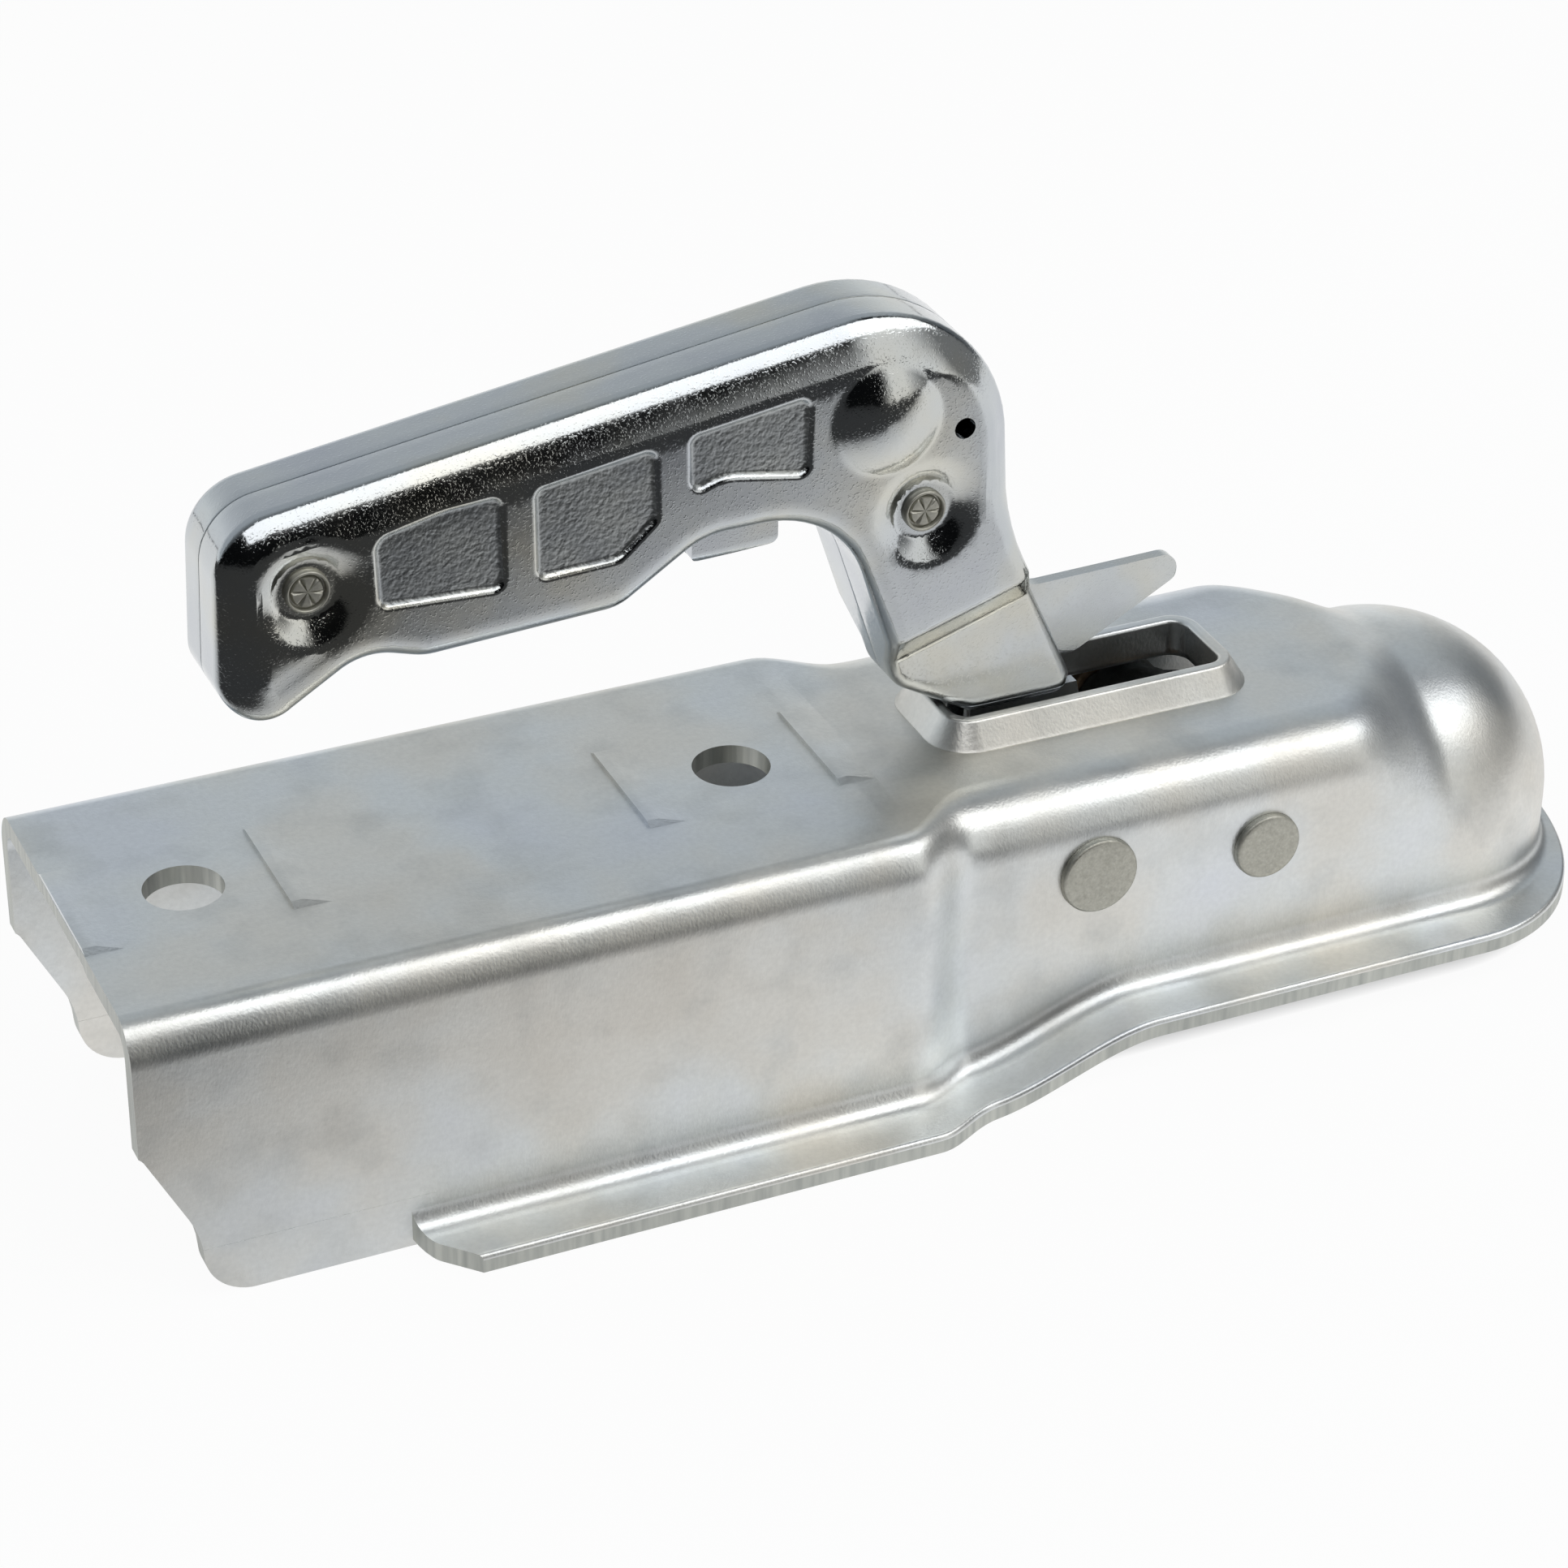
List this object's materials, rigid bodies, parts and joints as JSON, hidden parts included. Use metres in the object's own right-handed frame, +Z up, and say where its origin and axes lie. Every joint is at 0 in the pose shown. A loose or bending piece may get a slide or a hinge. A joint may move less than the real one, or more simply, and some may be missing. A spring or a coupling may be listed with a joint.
{
  "type": "trailer coupling head",
  "caption": "Pressed steel trailer coupling head with a ball socket, a riveted hand lever, a squeeze catch and a pivoting ball jaw.",
  "frame": {"origin": "centre of the towing ball that the socket holds", "axes": "+X forwards along the drawbar to the nose of the socket, +Y to the left side, +Z up through the flat top"},
  "size_m": [0.2594, 0.0894, 0.1281],
  "materials": {
    "zinc_shell": "satin zinc-plated pressing, thin bright bluish coat with faint yellowish bloom",
    "zinc_lever": "bright zinc-plated deep-drawn sheet",
    "bare_steel": "matt bare steel pins and rivets",
    "catch_steel": "zinc-plated stamped plate with grey sheared edges",
    "cast_steel": "dark cast surface, zinc-plated",
    "spring_steel": "brownish oiled spring wire"
  },
  "bodies": {
    "head": {"housing": "zinc_shell", "lever_pin": "bare_steel", "jaw_pin": "bare_steel", "jaw_spring": "spring_steel", "lever_spring": "spring_steel", "lever_sleeve_right": "bare_steel", "lever_sleeve_left": "bare_steel", "jaw_sleeve_right": "bare_steel", "jaw_sleeve_left": "bare_steel"},
    "lever": {"handle_half_right": "zinc_lever", "handle_half_left": "zinc_lever", "handle_rivet_rear": "bare_steel", "handle_rivet_front": "bare_steel", "rear_rivet_sleeve": "bare_steel", "catch_washer_right": "bare_steel", "catch_washer_left": "bare_steel", "locking_cam": "cast_steel", "cam_rivet": "bare_steel", "catch_spring": "spring_steel"},
    "catch": {"safety_catch": "catch_steel"},
    "jaw": {"ball_jaw": "cast_steel"}
  },
  "joints": [
    {"name": "lever_lift", "type": "hinge", "parent": "head", "child": "lever", "pos_m": [-0.0685, 0, 0.0161], "axis": [0, 1, 0], "range_deg": [0, 54], "stiffness_Nm_per_rad": 0.9, "springref_deg": -34.38, "deforming": ["lever_spring"]},
    {"name": "catch_squeeze", "type": "hinge", "parent": "lever", "child": "catch", "pos_m": [-0.0911, 0, 0.0759], "axis": [0, 1, 0], "range_deg": [0, 23], "deforming": ["catch_spring"]},
    {"name": "jaw_swing", "type": "hinge", "parent": "head", "child": "jaw", "pos_m": [-0.0379, 0, 0.014], "axis": [0, 1, 0], "range_deg": [0, 17], "deforming": ["jaw_spring"]}
  ],
  "couplings": [
    {"joint": "catch_squeeze", "follows": "lever_lift", "ratio": 0.42},
    {"joint": "jaw_swing", "follows": "lever_lift", "ratio": 0.3}
  ]
}
